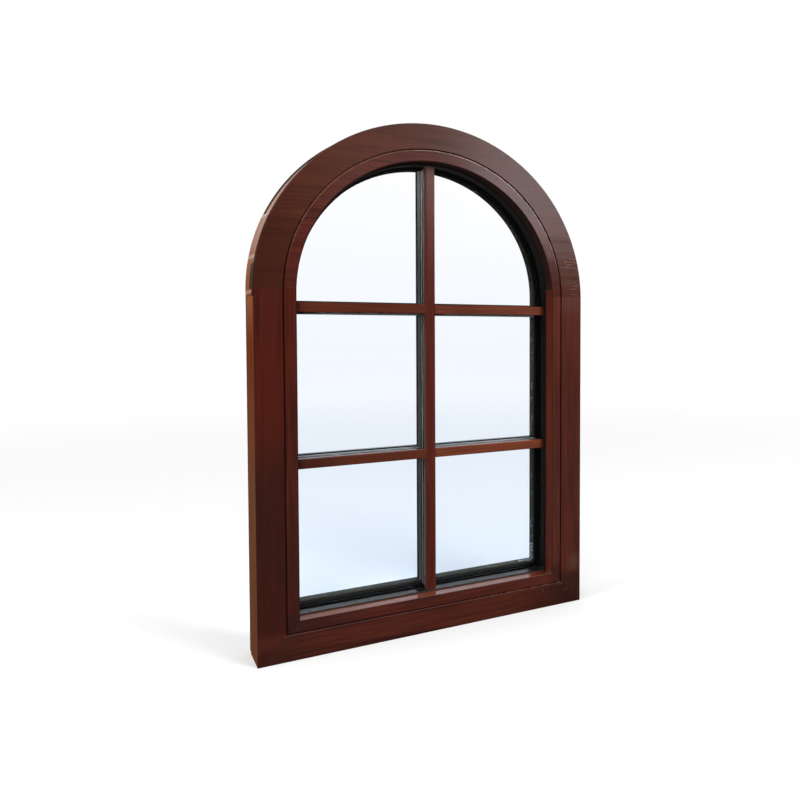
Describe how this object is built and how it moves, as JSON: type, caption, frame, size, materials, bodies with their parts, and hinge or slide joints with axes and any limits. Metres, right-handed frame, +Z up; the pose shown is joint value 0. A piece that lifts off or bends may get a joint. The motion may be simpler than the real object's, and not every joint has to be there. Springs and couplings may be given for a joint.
{
  "type": "arched fixed window",
  "caption": "Round-headed fixed window with a dark stained wood frame, triple glazing divided by wood bars, and grey aluminium cladding on the outside.",
  "frame": {"origin": "middle of the footprint of the whole window, on the underside of the wood frame", "axes": "+X along the width, to the right as seen from the room; +Y from the room towards the outside; +Z up"},
  "size_m": [1, 0.125, 1.5059],
  "materials": {
    "frame_wood": "dark red-brown stained wood with a satin varnish",
    "bead_wood": "dark red-brown stained wood with a satin varnish",
    "bar_wood": "dark red-brown stained wood with a satin varnish",
    "cladding": "matt dark grey powder coat on aluminium",
    "glass": "clear float glass",
    "spacer": "black warm edge spacer and sealant",
    "cavity_bars": "grey coated flat bar",
    "rubber_seal": "matt black rubber"
  },
  "bodies": {
    "root": {"arch_bead_crown": "bead_wood", "arch_bead_left": "bead_wood", "arch_bead_right": "bead_wood", "arch_cladding": "cladding", "arch_crown": "frame_wood", "arch_left": "frame_wood", "arch_right": "frame_wood", "arch_seal": "rubber_seal", "bottom_bead": "bead_wood", "bottom_cladding": "cladding", "bottom_rail": "frame_wood", "bottom_seal": "rubber_seal", "inner_cavity_grid": "cavity_bars", "inner_pane": "glass", "inner_spacer": "spacer", "left_bead": "bead_wood", "left_cladding": "cladding", "left_jamb": "frame_wood", "left_seal": "rubber_seal", "lower_left_bar": "bar_wood", "lower_right_bar": "bar_wood", "middle_pane": "glass", "outer_cavity_grid": "cavity_bars", "outer_pane": "glass", "outer_spacer": "spacer", "outside_gasket": "rubber_seal", "outside_lower_left_bar": "cladding", "outside_lower_right_bar": "cladding", "outside_upper_left_bar": "cladding", "outside_upper_right_bar": "cladding", "outside_upright_bar": "cladding", "right_bead": "bead_wood", "right_cladding": "cladding", "right_jamb": "frame_wood", "right_seal": "rubber_seal", "upper_left_bar": "bar_wood", "upper_right_bar": "bar_wood", "upright_bar": "bar_wood"}
  },
  "joints": []
}
